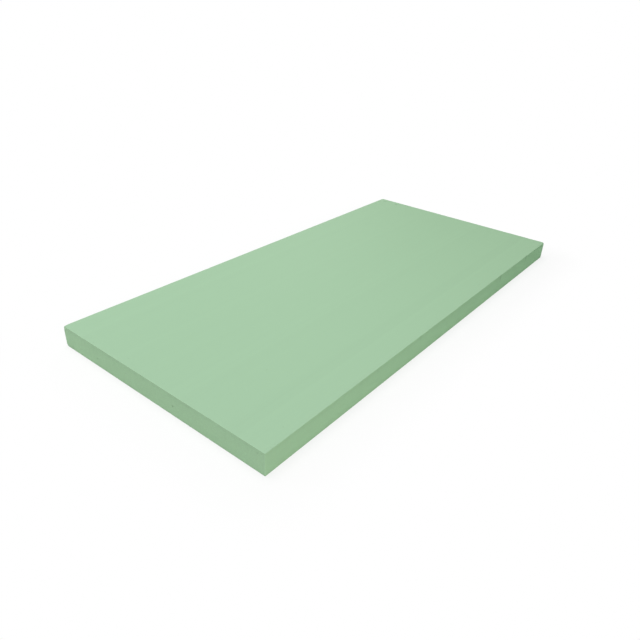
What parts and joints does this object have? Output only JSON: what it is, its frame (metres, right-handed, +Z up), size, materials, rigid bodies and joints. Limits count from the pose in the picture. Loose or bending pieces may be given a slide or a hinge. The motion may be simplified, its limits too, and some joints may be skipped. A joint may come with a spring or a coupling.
{
  "type": "xps insulation board",
  "caption": "Flat rectangular sheet of pale green extruded polystyrene foam with smooth skins and straight square-cut edges, for thermal insulation.",
  "frame": {"origin": "middle of the underside, so that the board lies flat on the plane Z = 0", "axes": "+X along the length, which is the direction of extrusion; +Y across the width; +Z up through the thickness, out of the upper skin"},
  "size_m": [1.25, 0.6, 0.05],
  "materials": {
    "green_foam": "fine closed-cell foam with a dull satin skin"
  },
  "bodies": {
    "root": {"insulation_board": "green_foam"}
  },
  "joints": []
}
